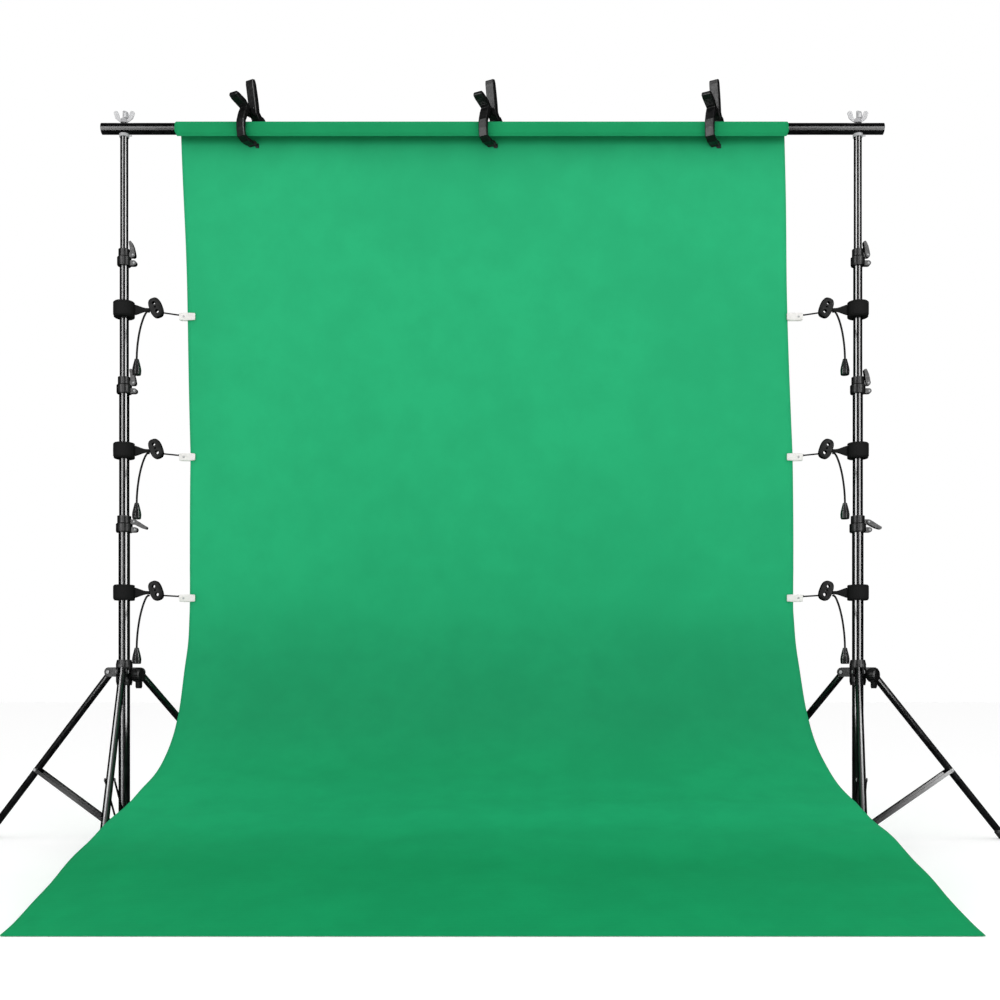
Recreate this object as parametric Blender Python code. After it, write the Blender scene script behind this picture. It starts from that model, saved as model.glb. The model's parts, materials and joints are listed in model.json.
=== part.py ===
"""Background support kit: a crossbar with a sheet backdrop on two telescoping tripod stands, with spring
clamps along the bar and tension clips down both sides.

Metres. X runs along the crossbar, -Y faces the viewer, +Z is up and the floor is Z = 0.
"""

import math

import bmesh
import bpy
from mathutils import Matrix, Vector

GAP = 0.0004  # running clearance between two pieces

# Layout
BAR_Y = 0.3946  # the plane of the stands and the crossbar
BAR_Z = 1.8315
STANDS = {"left": {"x": -0.943, "leg_yaw": -79.0}, "right": {"x": 0.935, "leg_yaw": -105.0}}

# Crossbar
BAR_RADIUS, BAR_LENGTH, BAR_WALL, BAR_PLUG = 0.014, 2.0, 0.0012, 0.012

# Telescoping tubes: name, outer radius, bottom, top
TUBES = (
    ("top", 0.0100, 1.235, 1.8097),
    ("upper", 0.0113, 0.877, 1.497),
    ("lower", 0.0127, 0.510, 1.170),
    ("base", 0.0142, 0.030, 0.815),
)
TUBE_WALL = 0.0009
TUBE_SIDES = 24

# Lock collars, one on the mouth of each outer tube, with a lever on a pin beside it
COLLAR_HEIGHT, COLLAR_BELOW_MOUTH = 0.042, 0.017
COLLAR_RADIUS, COLLAR_NECK_RADIUS = 0.0177, 0.0144
LEVER_X, LEVER_Z = 0.0240, 0.027
LEVER_LENGTH, LEVER_LOCKED = 0.036, 100.0
LEVERS_OPEN = {"upper": 0.0, "lower": 0.0, "base": 130.0}
PIN_RADIUS = 0.0025

# Tripod
PIVOT_RADIUS, PIVOT_Z = 0.040, 0.441
FOOT_REACH = 0.440
LEG_RADIUS, LEG_WALL = 0.009, 0.001
BRACE_AT = 0.58  # fraction of the leg's length
BRACE_FOOT_RADIUS, BRACE_FOOT_Z = 0.036, 0.0475
BRACE_WIDTH, BRACE_THICKNESS, BRACE_OFFSET = 0.010, 0.002, 0.0096
HUB_RADIUS, HUB_BELOW, HUB_ABOVE = 0.0205, 0.034, 0.031
KNOB_Z, KNOB_RADIUS, KNOB_RIBS = -0.008, 0.0175, 12

# Sheet
SHEET_THICKNESS = 0.002
SHEET_COLUMNS = 8
SHEET_WRAP = BAR_RADIUS + 0.0015  # the sheet lies loosely over the bar
FLAP_BOTTOM = 1.8055
FRONT_REACH = 1.130  # how far the sheet sweeps forward of its hanging plane

# Spring clamps
CLAMP_X = (-0.621, -0.007, 0.567)
CLAMP_Z, CLAMP_YAW, CLAMP_HALF_WIDTH = 1.875, -28.0, 0.0120

# Side clips: straps round the stands
STRAPS = (("top", "upper", 1.368), ("middle", "lower", 1.007), ("bottom", "base", 0.644))
STRAP_RADIUS, STRAP_HEIGHT = 0.0265, 0.046
CORD_RADIUS = 0.0025

BLACK_METAL = ("black_metal", (0.012, 0.012, 0.013), 0.28, 0.6)
BLACK_PLASTIC = ("black_plastic", (0.016, 0.016, 0.017), 0.45, 0.0)
SILVER = ("silver_metal", (0.72, 0.72, 0.73), 0.25, 1.0)
GREEN_CLOTH = ("green_cloth", (0.020, 0.420, 0.165), 0.85, 0.0)
BLACK_WEBBING = ("black_webbing", (0.012, 0.012, 0.012), 0.8, 0.0)


def material(name, color, roughness, metallic):
    found = bpy.data.materials.get(name)
    if found:
        return found
    made = bpy.data.materials.new(name)
    made.use_nodes = True
    shader = made.node_tree.nodes["Principled BSDF"]
    shader.inputs["Base Color"].default_value = (*color, 1.0)
    shader.inputs["Roughness"].default_value = roughness
    shader.inputs["Metallic"].default_value = metallic
    return made


def from_faces(points, faces):
    """A working solid from points and faces, with its faces turned outwards."""
    mesh = bpy.data.meshes.new("solid")
    mesh.from_pydata([tuple(point) for point in points], [], faces)
    shell = bmesh.new()
    shell.from_mesh(mesh)
    bmesh.ops.remove_doubles(shell, verts=shell.verts, dist=1e-6)
    bmesh.ops.recalc_face_normals(shell, faces=shell.faces)
    if shell.calc_volume(signed=True) < 0:
        bmesh.ops.reverse_faces(shell, faces=shell.faces)
    shell.to_mesh(mesh)
    shell.free()
    solid = bpy.data.objects.new("solid", mesh)
    bpy.context.scene.collection.objects.link(solid)
    return solid


def moved(solid, matrix):
    solid.data.transform(matrix)
    return solid


def turned(solid, degrees, axis="Z"):
    return moved(solid, Matrix.Rotation(math.radians(degrees), 4, axis))


def revolved(profile, sides=TUBE_SIDES):
    """Turns a closed (radius, height) profile about Z."""
    points, rings = [], []
    for radius, height in profile:
        if radius == 0:
            rings.append([len(points)] * sides)
            points.append((0, 0, height))
            continue
        rings.append(list(range(len(points), len(points) + sides)))
        for step in range(sides):
            angle = math.tau * step / sides
            points.append((radius * math.cos(angle), radius * math.sin(angle), height))
    faces = []
    for ring, after in zip(rings, rings[1:] + rings[:1]):
        for step in range(sides):
            turn = (step + 1) % sides
            corners = list(dict.fromkeys((ring[step], ring[turn], after[turn], after[step])))
            if len(corners) > 2:
                faces.append(corners)
    return from_faces(points, faces)


def prism(outline, low, high):
    """An outline of (x, z) points extended along Y from low to high."""
    count = len(outline)
    points = [(x, y, z) for y in (low, high) for x, z in outline]
    sides = [(i, (i + 1) % count, count + (i + 1) % count, count + i) for i in range(count)]
    return from_faces(points, [tuple(range(count)), tuple(range(2 * count - 1, count - 1, -1)), *sides])


def softened(solid, width):
    """Rounds the edges of a prism's outline and ends."""
    shell = bmesh.new()
    shell.from_mesh(solid.data)
    sharp = [edge for edge in shell.edges if edge.calc_face_angle() > math.radians(50)]
    bmesh.ops.bevel(shell, geom=sharp, offset=width, segments=2, affect="EDGES", profile=0.5)
    shell.to_mesh(solid.data)
    shell.free()
    return solid


def block(low, high):
    outline = [(low[0], low[2]), (high[0], low[2]), (high[0], high[2]), (low[0], high[2])]
    return prism(outline, low[1], high[1])


def swept(route, radius, sides=8):
    """A round cord or rod along a route."""
    route = [Vector(point) for point in route]
    ways = [route[1] - route[0], *[b - a for a, b in zip(route, route[2:])], route[-1] - route[-2]]
    side = ways[0].orthogonal().normalized()
    points = []
    for place, way in zip(route, ways):
        way = way.normalized()
        side = (side - way * side.dot(way)).normalized()
        other = way.cross(side)
        for step in range(sides):
            angle = math.tau * step / sides
            points.append(place + radius * (math.cos(angle) * side + math.sin(angle) * other))
    last = len(points) - sides
    faces = [
        (row + i, row + (i + 1) % sides, row + sides + (i + 1) % sides, row + sides + i)
        for row in range(0, last, sides)
        for i in range(sides)
    ]
    return from_faces(points, [*faces, tuple(range(sides)), tuple(range(last, last + sides))])


def arc(centre, radius, start, end, steps):
    """Points of an arc in the XZ plane, angles in degrees."""
    for step in range(steps + 1):
        angle = math.radians(start + (end - start) * step / steps)
        yield centre[0] + radius * math.cos(angle), centre[1] + radius * math.sin(angle)


def lug(start, pivot, radius, half_width):
    """An ear from start out to a round end about (pivot, 0)."""
    outline = [(start, -radius), *arc((pivot, 0), radius, -90, 90, 6), (start, radius)]
    return prism(outline, -half_width, half_width)


def stroke(line):
    """The outline of a bar along (x, z, half thickness) points."""
    near, far = [], []
    for index, (x, z, half) in enumerate(line):
        before, after = line[max(index - 1, 0)], line[min(index + 1, len(line) - 1)]
        way = Vector((after[0] - before[0], after[1] - before[1])).normalized() * half
        near.append((x - way.y, z + way.x))
        far.append((x + way.y, z - way.x))
    return near + far[::-1]


def combined(base, adds=(), cuts=()):
    for operation, tools in (("UNION", adds), ("DIFFERENCE", cuts)):
        for tool in tools:
            modifier = base.modifiers.new(operation, "BOOLEAN")
            modifier.operation, modifier.solver, modifier.object = operation, "EXACT", tool
    graph = bpy.context.evaluated_depsgraph_get()
    mesh = bpy.data.meshes.new_from_object(base.evaluated_get(graph))
    base.modifiers.clear()
    base.data = mesh
    for tool in (*adds, *cuts):
        bpy.data.objects.remove(tool)
    return base


def piece(name, solid, finish, location=(0, 0, 0), yaw=0.0, smooth=True):
    """Names a finished solid, gives it its material and puts its origin on its joint's axis."""
    solid.name = solid.data.name = name
    solid.location = location
    solid.rotation_euler = (0, 0, math.radians(yaw))
    solid.data.materials.clear()
    solid.data.materials.append(material(*finish))
    if smooth:
        solid.data.shade_smooth()
        solid.data.set_sharp_from_angle(angle=math.radians(35))
    return solid


def make_crossbar():
    half = BAR_LENGTH / 2
    bar = revolved([(0, -half), (BAR_RADIUS, -half), (BAR_RADIUS, half), (0, half)], 20)
    bore = BAR_RADIUS - BAR_WALL
    inside = half - BAR_PLUG
    hollow = revolved([(0, -inside), (bore, -inside), (bore, inside), (0, inside)], 20)
    tube = turned(combined(bar, cuts=[hollow]), 90, "Y")
    holes = [swept([(s["x"], 0, -0.03), (s["x"], 0, 0.03)], 0.0045, 12) for s in STANDS.values()]
    piece("crossbar", combined(tube, cuts=holes), BLACK_METAL, (0, BAR_Y, BAR_Z))


def sheet_path():
    """(forward distance, height) of the sheet's middle: its front flap, over the bar, down to the floor."""
    radius = SHEET_WRAP + SHEET_THICKNESS / 2
    yield radius, FLAP_BOTTOM
    for distance, height in arc((0, BAR_Z), radius, 0, 180, 10):
        yield distance, height
    for height in (1.45, 1.10, 0.85):
        yield -radius, height
    bend = ((0.004, 0.70), (0.018, 0.57), (0.045, 0.45), (0.095, 0.345), (0.17, 0.265), (0.27, 0.208))
    sweep = ((0.40, 0.166), (0.55, 0.130), (0.70, 0.098), (0.84, 0.066), (0.97, 0.034), (1.07, 0.011))
    for forward, height in bend + sweep:
        yield forward - radius, height
    yield FRONT_REACH - radius, SHEET_THICKNESS / 2


def sheet_edges(height):
    """Left and right edge of the sheet: it hangs a little to the left and spreads on the floor."""
    hanging, lying = max(0, height - 1.0), max(0, 1 - height)
    left = -0.774 - 0.034 * hanging - 0.016 * lying
    right = 0.771 - 0.024 * hanging + 0.050 * max(0, 0.6 - height)
    return left, right


def make_backdrop():
    path = list(sheet_path())
    across = SHEET_COLUMNS + 1
    points = []
    for index, (forward, height) in enumerate(path):
        before, after = path[max(index - 1, 0)], path[min(index + 1, len(path) - 1)]
        way = Vector((after[0] - before[0], after[1] - before[1])).normalized() * (SHEET_THICKNESS / 2)
        left, right = sheet_edges(height)
        for sign in (-1, 1):
            for column in range(across):
                x = left + (right - left) * column / SHEET_COLUMNS
                points.append((x, BAR_Y - forward + sign * way.y, height + sign * way.x))
    ring = [*range(across), *range(2 * across - 1, across - 1, -1)]
    last = 2 * across * (len(path) - 1)
    faces = [
        (row + a, row + b, row + 2 * across + b, row + 2 * across + a)
        for row in range(0, last, 2 * across)
        for a, b in zip(ring, ring[1:] + ring[:1])
    ]
    for row in (0, last):
        for corner in range(row, row + SHEET_COLUMNS):
            faces.append((corner, corner + 1, corner + across + 1, corner + across))
    piece("backdrop", from_faces(points, faces), GREEN_CLOTH)


def make_bar_fixing(side, x):
    """The stud that stands on the top tube and passes up through the bar, and its wing nut."""
    top = TUBES[0][3]
    plug, rim, low, seat, high = 0.0085, 0.0125, -0.018, 0.0003, 0.0074
    flange = revolved([(0, low), (plug, low), (plug, seat), (rim, seat), (rim, high), (0, high)], 20)
    screw = swept([(0.010, 0, 0.0038), (0.0195, 0, 0.0038)], 0.0016, 8)
    stud = combined(flange, adds=[swept([(0, 0, 0.003), (0, 0, 0.067)], 0.0038, 12), screw])
    piece(f"{side}_bar_stud", stud, SILVER, (x, BAR_Y, top))

    boss = revolved([(0.0043, 0), (0.0095, 0), (0.0075, 0.011), (0.0043, 0.011)], 16)
    tip = arc((0.0205, 0.0250), 0.0062, -40, 160, 6)
    wing = [(0.0060, 0.001), (0.0150, 0.006), (0.0225, 0.012), *tip, (0.0105, 0.012), (0.0060, 0.010)]
    wings = [turned(prism(wing, -0.0013, 0.0013), turn) for turn in (0, 180)]
    piece(f"{side}_wing_nut", combined(boss, adds=wings), SILVER, (x, BAR_Y, BAR_Z + BAR_RADIUS + 0.0005))


def make_tube(side, x, index):
    name, radius, bottom, top = TUBES[index]
    bore = radius - TUBE_WALL if index == 0 else TUBES[index - 1][1] + GAP
    profile = [(bore, bottom), (radius, bottom), (radius, top), (bore, top)]
    if name == "base":
        waist = [(0.0195, 0.030), (0.0205, 0.036), (0.0205, 0.058), (0.0185, 0.064)]
        profile[1:2] = [(radius, 0.0285), *waist, (radius, 0.066)]
    tube = revolved(profile)
    if name == "base":
        yaw = STANDS[side]["leg_yaw"]
        raised = Matrix.Translation((0, 0, BRACE_FOOT_Z))
        ears = [
            turned(moved(lug(0.0165, BRACE_FOOT_RADIUS, 0.0055, 0.0082), raised), yaw + turn)
            for turn in (0, 120, 240)
        ]
        tube = combined(tube, adds=ears)
    piece(f"{side}_{name}_tube", tube, BLACK_METAL, (x, BAR_Y, 0))


def make_lock(side, x, index):
    """A lock collar on a tube's mouth, round the tube inside it too, and its lever."""
    name, radius, _, mouth = TUBES[index]
    bottom = mouth - COLLAR_BELOW_MOUTH
    inner = TUBES[index - 1][1]
    neck = COLLAR_BELOW_MOUTH + GAP
    grow = radius - TUBES[1][1]
    collar = revolved(
        [
            (radius + GAP, 0),
            (COLLAR_RADIUS + grow - 0.001, 0),
            (COLLAR_RADIUS + grow, 0.003),
            (COLLAR_RADIUS + grow, 0.021),
            (COLLAR_NECK_RADIUS + grow, 0.024),
            (COLLAR_NECK_RADIUS + grow, COLLAR_HEIGHT),
            (inner + GAP, COLLAR_HEIGHT),
            (inner + GAP, neck),
            (radius + GAP, neck),
        ]
    )
    pivot = (LEVER_X + grow, 0, LEVER_Z)
    ear = moved(lug(-0.0105, 0, 0.0065, 0.0039), Matrix.Translation(pivot))
    hole = moved(swept([(0, -0.02, 0), (0, 0.02, 0)], PIN_RADIUS + GAP, 10), Matrix.Translation(pivot))
    screw_ear = moved(lug(-0.0105, 0, 0.0065, 0.0060), Matrix.Translation((0.026 + grow, 0, 0.0067)))
    body = combined(collar, adds=[ear, screw_ear], cuts=[hole])
    piece(f"{side}_{name}_lock_collar", body, BLACK_PLASTIC, (x, BAR_Y, bottom))

    way = math.radians(LEVER_LOCKED)
    grip = [(0.022, 0, 0.0050), (0.032, 0.0012, 0.0038), (LEVER_LENGTH, 0.0020, 0.0026)]
    reach = [(0, 0, 0.0058), (0.010, 0, 0.0058), *grip]
    arm = prism(stroke(reach), -0.0072, 0.0072)
    cheek = swept([(0, -0.0072, 0), (0, 0.0072, 0)], 0.0058, 12)
    slot = swept([(0, -0.0043, 0), (0, 0.0043, 0)], 0.0106, 14)
    pin = swept([(0, -0.006, 0), (0, 0.006, 0)], PIN_RADIUS, 10)
    lever = combined(combined(arm, adds=[cheek], cuts=[slot]), adds=[pin])
    turned(lever, LEVERS_OPEN[name] - math.degrees(way), "Y")
    piece(f"{side}_{name}_lock_lever", lever, BLACK_PLASTIC, (x + pivot[0], BAR_Y, bottom + LEVER_Z))


def make_hub(side, x, yaw):
    """The sliding leg collar: three forked ears, each with its rivet, and a boss for the clamp knob."""
    bore = TUBES[3][1] + GAP
    outside = [(0.0185, -HUB_BELOW), (HUB_RADIUS, -0.024), (HUB_RADIUS, 0.020), (0.0180, HUB_ABOVE)]
    sleeve = revolved([(bore, -HUB_BELOW), *outside, (bore, HUB_ABOVE)])
    turns = [yaw, yaw + 120, yaw + 240]

    def rivets(half_length, radius, sides):
        ends = [(PIVOT_RADIUS, -half_length, 0), (PIVOT_RADIUS, half_length, 0)]
        return [turned(swept(ends, radius, sides), turn) for turn in turns]

    ears = [turned(lug(0.0150, PIVOT_RADIUS, 0.0120, 0.0126), turn) for turn in turns]
    heads = rivets(0.0142, 0.005, 12)
    boss = turned(swept([(0.0150, 0, KNOB_Z), (0.0290, 0, KNOB_Z)], 0.0085, 14), yaw + 60)
    slots = [turned(block((0.0270, -0.0096, -0.02), (0.06, 0.0096, 0.02)), turn) for turn in turns]
    tube_bore = swept([(0, 0, -0.06), (0, 0, 0.06)], bore, TUBE_SIDES)
    knob_bore = turned(swept([(0.0160, 0, KNOB_Z), (0.0320, 0, KNOB_Z)], 0.0034, 12), yaw + 60)
    hub = combined(sleeve, adds=[*ears, *heads, boss], cuts=[*slots, tube_bore, knob_bore])
    pins = rivets(0.011, PIN_RADIUS, 10)
    piece(f"{side}_leg_hub", combined(hub, adds=pins), BLACK_PLASTIC, (x, BAR_Y, PIVOT_Z))

    back, face = 0.0300, 0.0540
    rim = [(0.0150, back), (KNOB_RADIUS, back + 0.003), (KNOB_RADIUS, face - 0.003), (0.0140, face)]
    head = turned(revolved([(0, back), *rim, (0, face)], 20), 90, "Y")
    shaft = swept([(0.0168, 0, 0), (0.0320, 0, 0)], 0.003, 12)
    hanging = [(0.0385, -0.030), (0.0405, -0.034), (0.0475, -0.034), (0.0500, -0.029)]
    tab = prism([(0.0385, 0), *hanging, (0.0500, 0)], -0.0065, 0.0065)
    rib = [(back + 0.0045, 0, KNOB_RADIUS), (face - 0.004, 0, KNOB_RADIUS)]
    ribs = [turned(swept(rib, 0.0017, 6), 360 * number / KNOB_RIBS, "X") for number in range(KNOB_RIBS)]
    knob = combined(head, adds=[shaft, tab, *ribs])
    piece(f"{side}_hub_knob", knob, BLACK_PLASTIC, (x, BAR_Y, PIVOT_Z + KNOB_Z), yaw + 60)


def leg_shape():
    """The leg's length and its angle from straight down."""
    drop, reach = PIVOT_Z, FOOT_REACH - PIVOT_RADIUS
    return math.hypot(drop, reach), math.degrees(math.atan2(reach, drop))


def make_leg(side, x, yaw, number):
    length, angle = leg_shape()
    heading = Matrix.Rotation(math.radians(yaw), 3, "Z")
    pivot = Vector((x, BAR_Y, PIVOT_Z)) + heading @ Vector((PIVOT_RADIUS, 0, 0))
    boot, end, bore = 0.0112, length + 0.008, LEG_RADIUS - LEG_WALL
    tube = revolved(
        [
            (bore, 0.0075),
            (LEG_RADIUS, 0.0075),
            (LEG_RADIUS, -length + 0.032),
            (boot, -length + 0.030),
            (boot, -end),
            (0, -end),
            (0, -length + 0.024),
            (bore, -length + 0.024),
        ],
        16,
    )
    pin_holes = [
        swept([(0, -0.02, -along), (0, 0.02, -along)], PIN_RADIUS + GAP, 10)
        for along in (0, BRACE_AT * length)
    ]
    leg = turned(combined(tube, cuts=pin_holes), -angle, "Y")
    floor = block((0.2, -0.1, -PIVOT_Z - 0.1), (0.6, 0.1, -PIVOT_Z))
    piece(f"{side}_leg_{number}", combined(leg, cuts=[floor]), BLACK_METAL, pivot, yaw)

    reach = BRACE_AT * length
    high = Vector((reach * math.sin(math.radians(angle)), 0, -reach * math.cos(math.radians(angle))))
    low = Vector((BRACE_FOOT_RADIUS - PIVOT_RADIUS, 0, BRACE_FOOT_Z - PIVOT_Z))
    run = low - high
    slope = math.degrees(math.atan2(run.z, run.x))
    half, span = BRACE_WIDTH / 2, run.length
    strap = [*arc((0, 0), half, 90, 270, 6), *arc((span, 0), half, -90, 90, 6)]
    outside = BRACE_OFFSET + BRACE_THICKNESS
    strips = [prism(strap, BRACE_OFFSET, outside), prism(strap, -outside, -BRACE_OFFSET)]
    pin = swept([(0, -outside - 0.0012, 0), (0, outside + 0.0012, 0)], PIN_RADIUS, 10)
    brace = turned(combined(strips[0], adds=[pin, strips[1]]), -slope, "Y")
    piece(f"{side}_brace_{number}", brace, BLACK_METAL, pivot + heading @ high, yaw)


def make_stand(side, x, yaw):
    for index in range(len(TUBES)):
        make_tube(side, x, index)
        if index:
            make_lock(side, x, index)
    make_hub(side, x, yaw)
    for number in (1, 2, 3):
        make_leg(side, x, yaw + 120 * (number - 1), number)
    make_bar_fixing(side, x)


def make_clamp(number, x):
    """A spring clamp: outlines are (depth, height) from its hinge pin, turned so that depth is local Y."""
    half = CLAMP_HALF_WIDTH
    place = (x, BAR_Y, CLAMP_Z)
    rear = [
        (0.0010, 0.0820, 0.0050),
        (0.0035, 0.0720, 0.0075),
        (0.0090, 0.0480, 0.0080),
        (0.0138, 0.0250, 0.0082),
        (0.0172, 0.0030, 0.0085),
        (0.0320, -0.0110, 0.0085),
        (0.0420, -0.0280, 0.0070),
        (0.0405, -0.0480, 0.0058),
        (0.0365, -0.0680, 0.0050),
        (0.0322, -0.0870, 0.0045),
    ]
    front = [
        (-0.0660, 0.0195, 0.0045),
        (-0.0560, 0.0165, 0.0072),
        (-0.0320, 0.0100, 0.0078),
        (-0.0190, 0.0020, 0.0080),
        (-0.0270, -0.0160, 0.0070),
        (-0.0345, -0.0360, 0.0055),
        (-0.0352, -0.0560, 0.0050),
        (-0.0332, -0.0735, 0.0048),
        (-0.0190, -0.0800, 0.0046),
        (0.0030, -0.0800, 0.0045),
    ]
    boss_at, boss_radius = (0.0350, -0.0160), 0.0150
    rear_body = softened(prism(stroke(rear), -half, half), 0.0022)
    rear_ears = [moved(lug(-0.012, 0, 0.0080, 0.0018), Matrix.Rotation(math.pi, 4, "Z")) for _ in range(2)]
    for ear, side in zip(rear_ears, (-1, 1)):
        moved(ear, Matrix.Translation((0, side * 0.0082, 0)))
    pin = swept([(0, -0.009, 0), (0, 0.009, 0)], 0.003, 12)
    boss = swept([(boss_at[0], -half, boss_at[1]), (boss_at[0], half, boss_at[1])], boss_radius, 20)
    rear_arm = turned(combined(rear_body, adds=[*rear_ears, pin, boss]), 90)
    piece(f"clamp_{number}_rear_arm", rear_arm, BLACK_PLASTIC, place, CLAMP_YAW)

    front_body = softened(prism(stroke(front), -half, half), 0.0022)
    front_ear = lug(-0.013, 0, 0.0070, 0.0058)
    hole = swept([(0, -0.02, 0), (0, 0.02, 0)], 0.003 + GAP, 12)
    front_arm = turned(combined(front_body, adds=[front_ear], cuts=[hole]), 90)
    piece(f"clamp_{number}_front_arm", front_arm, BLACK_PLASTIC, place, CLAMP_YAW)


def drawcord_route(mirror):
    """The drawcord's middle line from the cord lock to the top of its bell, from the strap's middle."""
    route = (
        (0.0660, -0.0090, -0.0080),
        (0.0655, -0.0150, -0.0085),
        (0.0640, -0.0215, -0.0120),
        (0.0620, -0.0270, -0.0190),
        (0.0600, -0.0320, -0.0280),
        (0.0580, -0.0368, -0.0385),
        (0.0562, -0.0412, -0.0500),
        (0.0547, -0.0455, -0.0620),
        (0.0535, -0.0495, -0.0745),
        (0.0526, -0.0530, -0.0875),
        (0.0519, -0.0562, -0.1005),
        (0.0514, -0.0588, -0.1135),
        (0.0511, -0.0606, -0.1265),
        (0.0510, -0.0616, -0.1380),
        (0.0510, -0.0620, -0.1460),
    )
    return [(mirror * x, y, z) for x, y, z in route]


def make_strap(side, x, level, tube, height):
    """A hook-and-loop band with its tail and cord lock, and the drawcord with its bell stopper."""
    mirror = 1 if side == "left" else -1
    radius = {name: outer for name, outer, _, _ in TUBES}[tube] + GAP
    half = STRAP_HEIGHT / 2
    edge = STRAP_RADIUS - 0.0015
    outside = [(edge, -half), (STRAP_RADIUS, -half + 0.003), (STRAP_RADIUS, half - 0.003), (edge, half)]
    band = revolved([(radius, -half), *outside, (radius, half)])
    upper = [(0.022, 0.013), (0.056, 0.0045), (0.066, 0.0045)]
    tail = prism([*upper, *((px, -pz) for px, pz in reversed(upper))], -0.004, 0.004)
    oval = [(0.0172 * math.cos(a), 0.0265 * math.sin(a)) for a in (math.tau * i / 16 for i in range(16))]
    lock = turned(prism(oval, -0.008, 0.008), -20, "Y")
    moved(lock, Matrix.Translation((0.0815, 0, 0.005)))
    eyes = [
        swept([(px, -0.02, pz), (px, 0.02, pz)], 0.0035, 10)
        for px, pz in ((0.0778, 0.0153), (0.0858, -0.0068))
    ]
    strap = combined(band, adds=[tail, lock], cuts=eyes)
    if mirror < 0:
        turned(strap, 180)
    piece(f"{side}_{level}_strap", strap, BLACK_WEBBING, (x, BAR_Y, height))

    cord = swept(drawcord_route(mirror), CORD_RADIUS)
    flare = [(0.0105, -0.041), (0.0120, -0.032), (0.0090, -0.012), (0.0050, 0)]
    bell = revolved([(0, -0.041), *flare, (0, 0)], 12)
    moved(bell, Matrix.Translation(Vector(drawcord_route(mirror)[-1]) + Vector((0, 0, 0.003))))
    piece(f"{side}_{level}_drawcord", combined(cord, adds=[bell]), BLACK_PLASTIC, (x, BAR_Y, height))


def main():
    for old in list(bpy.data.objects):
        bpy.data.objects.remove(old)
    make_crossbar()
    make_backdrop()
    for side, stand in STANDS.items():
        make_stand(side, stand["x"], stand["leg_yaw"])
        for level, tube, height in STRAPS:
            make_strap(side, stand["x"], level, tube, height)
    for number, x in enumerate(CLAMP_X, 1):
        make_clamp(number, x)


main()
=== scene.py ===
"""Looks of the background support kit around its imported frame: the hanging sheet, straps, cords, clips and
every surface's finish. Metres, in the frame's own axes: X along the bar, -Y to the front, Z up."""

import json
import math

import bmesh
import bpy
from mathutils import Matrix, Vector, noise

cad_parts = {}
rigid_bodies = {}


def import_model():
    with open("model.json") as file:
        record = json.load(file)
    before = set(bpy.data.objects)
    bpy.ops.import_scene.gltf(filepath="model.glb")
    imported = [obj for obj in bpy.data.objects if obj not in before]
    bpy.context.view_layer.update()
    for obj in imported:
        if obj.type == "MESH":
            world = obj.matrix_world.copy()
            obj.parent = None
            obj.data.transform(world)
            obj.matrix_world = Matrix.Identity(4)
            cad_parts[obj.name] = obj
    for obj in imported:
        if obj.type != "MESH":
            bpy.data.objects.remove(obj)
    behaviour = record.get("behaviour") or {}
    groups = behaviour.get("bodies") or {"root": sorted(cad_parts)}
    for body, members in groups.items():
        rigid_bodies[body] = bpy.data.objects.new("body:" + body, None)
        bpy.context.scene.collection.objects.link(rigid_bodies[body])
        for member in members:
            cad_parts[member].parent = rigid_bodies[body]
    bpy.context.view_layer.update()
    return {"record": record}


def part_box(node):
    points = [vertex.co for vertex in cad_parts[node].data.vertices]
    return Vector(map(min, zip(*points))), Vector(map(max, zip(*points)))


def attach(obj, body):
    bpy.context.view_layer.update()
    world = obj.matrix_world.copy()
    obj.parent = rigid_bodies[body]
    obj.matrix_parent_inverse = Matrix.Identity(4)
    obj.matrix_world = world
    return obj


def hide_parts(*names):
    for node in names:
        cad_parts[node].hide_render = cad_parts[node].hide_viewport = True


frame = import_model()

RECORD = frame["record"]
JOINTS = {joint["name"]: joint for joint in RECORD["behaviour"]["joints"]}
BODY_OF = {node: body for body, nodes in RECORD["behaviour"]["bodies"].items() for node in nodes}


def middle(node):
    low, high = (Vector(corner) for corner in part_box(node))
    return (low + high) / 2


BAR = middle("crossbar")
BAR_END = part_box("crossbar")[1][0]
SIDES = {"left": 1, "right": -1}  # which way is inward along X
LEVELS = {"top": "upper", "middle": "lower", "bottom": "base"}  # the tube that each level's strap is round

# Sheet
SHEET_THICKNESS = 0.0011
SHEET_COLUMNS, SHEET_STEP, WRAP_STEP = 150, 0.0125, 0.0025
SHEET_REACH = BAR.y - Vector(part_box("backdrop")[0]).y
FLAP_BOTTOM, FLAP_BEND = 1.8055, 1.816
WRAP_RADIUS, WRAP_SPANS, WRAP_FOOT = 0.0165, 12, 1.79
HANG_HEIGHTS = (1.78, 1.45, 1.10, 0.80, 0.64)
SWEEP = (  # (forward of the hanging cloth, height)
    (0.0065, 0.570),
    (0.0180, 0.510),
    (0.0450, 0.450),
    (0.0950, 0.345),
    (0.1700, 0.265),
    (0.2700, 0.208),
    (0.4000, 0.166),
    (0.5500, 0.130),
    (0.7000, 0.098),
    (0.8400, 0.066),
    (0.9700, 0.034),
    (1.0700, 0.011),
)
FRONT_HEIGHT, LOWEST_CLOTH = 0.0012, 0.0008
CREASES = (1.20, 1.62, 2.02)  # places along the cloth
CREASE_HEIGHT, CREASE_WIDTH = 0.0016, 0.006
EDGES_DRAWN = 0.94  # how much of their folds the side clips take out of the hanging edges
SHEET_TALL = 1.9  # the height that the cloth's tones and painted shade are spread over
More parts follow.
